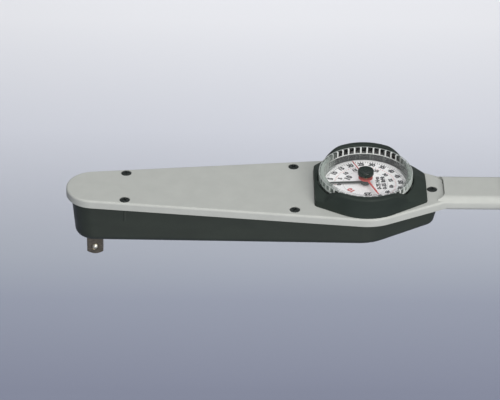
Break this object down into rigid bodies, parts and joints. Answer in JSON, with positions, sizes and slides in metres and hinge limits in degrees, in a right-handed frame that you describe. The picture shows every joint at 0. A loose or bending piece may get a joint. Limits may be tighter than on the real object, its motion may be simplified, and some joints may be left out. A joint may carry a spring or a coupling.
{
  "type": "dial torque wrench",
  "caption": "Torque wrench with a male square drive, slim tapered case, dial under a clear turning cover, memory pointer, guard and a straight handle.",
  "frame": {"origin": "centre of the end face of the drive square, which the drive axis passes through", "axes": "+X from the drive along the handle, +Z along the drive axis from the end of the square up to the dial, +Y to the left seen from the drive"},
  "size_m": [0.3794, 0.066, 0.0572],
  "materials": {
    "deck_paint": "fine textured grey paint over cast aluminium",
    "case_plastic": "satin charcoal moulding",
    "black_steel": "black oxide",
    "guard_plastic": "satin dark grey-green moulding",
    "zinc_steel": "zinc plated",
    "grip_rubber": "matt black soft moulding",
    "bronze": "sintered bronze",
    "seal_rubber": "matt",
    "tool_steel": "ground and hardened",
    "brass": "machined",
    "felt": "dense black felt",
    "drive_steel": "machined, lightly oiled, warm grey",
    "spring_steel": "ground spring steel",
    "arm_aluminium": "sheet, mill finish",
    "ball_steel": "polished ball",
    "pointer_black": "matt black",
    "clear_plastic": "clear moulding, polished, with ribs on its rim",
    "dial_white": "white enamel with black and red print",
    "pointer_red": "red paint",
    "knob_black": "black moulding"
  },
  "bodies": {
    "frame": {"upper_body": "deck_paint", "lower_case": "case_plastic", "case_screws": "black_steel", "dial_guard": "guard_plastic", "guard_screws": "zinc_steel", "handle_grip": "grip_rubber", "grip_end_cap": "case_plastic", "grip_end_screw": "zinc_steel", "drive_bush": "bronze", "dust_seal": "seal_rubber", "thrust_washer": "bronze", "head_bush": "bronze", "beam_yoke": "tool_steel", "yoke_screws": "zinc_steel", "movement_bridge": "brass", "bridge_screws": "zinc_steel", "pivot_bush": "bronze", "pointer_bush": "bronze", "hairspring_stud": "brass", "felt_ring": "felt"},
    "drive": {"drive_spindle": "drive_steel", "flexure_beam": "spring_steel", "arm_spacer": "zinc_steel", "measuring_arm": "arm_aluminium", "gear_sector": "brass", "sector_rivets": "brass", "spindle_nut": "zinc_steel", "detent_spring": "spring_steel"},
    "ball": {"detent_ball": "ball_steel"},
    "pointer": {"pinion_arbor": "tool_steel", "hairspring_collet": "brass", "hairspring": "spring_steel", "main_pointer": "pointer_black"},
    "dial": {"clear_cover": "clear_plastic", "dial_face": "dial_white", "dial_ring": "case_plastic", "knob_bush": "bronze", "knob_washer": "spring_steel"},
    "memory": {"memory_spindle": "tool_steel", "memory_pointer": "pointer_red", "memory_knob": "knob_black"}
  },
  "joints": [
    {"name": "drive_flex", "type": "hinge", "parent": "frame", "child": "drive", "pos_m": [0, 0, 0.0185], "axis": [0, 0, 1], "range_deg": [-2.6, 2.6], "stiffness_Nm_per_rad": 660, "deforming": ["flexure_beam"]},
    {"name": "pointer_turn", "type": "hinge", "parent": "frame", "child": "pointer", "pos_m": [0.1575, 0, 0.04], "axis": [0, 0, 1], "range_deg": [-271, 271], "deforming": ["hairspring"]},
    {"name": "dial_turn", "type": "hinge", "parent": "frame", "child": "dial", "pos_m": [0.1575, 0, 0.05], "axis": [0, 0, 1], "continuous": true},
    {"name": "memory_turn", "type": "hinge", "parent": "dial", "child": "memory", "pos_m": [0.1575, 0, 0.054], "axis": [0, 0, 1], "continuous": true},
    {"name": "ball_press", "type": "slide", "parent": "drive", "child": "ball", "axis": [0, 1, 0], "range_m": [0, 0.0008], "stiffness_N_per_m": 1500, "springref_m": -0.001, "deforming": ["detent_spring"]}
  ],
  "couplings": [
    {"joint": "pointer_turn", "follows": "drive_flex", "ratio": -104}
  ]
}
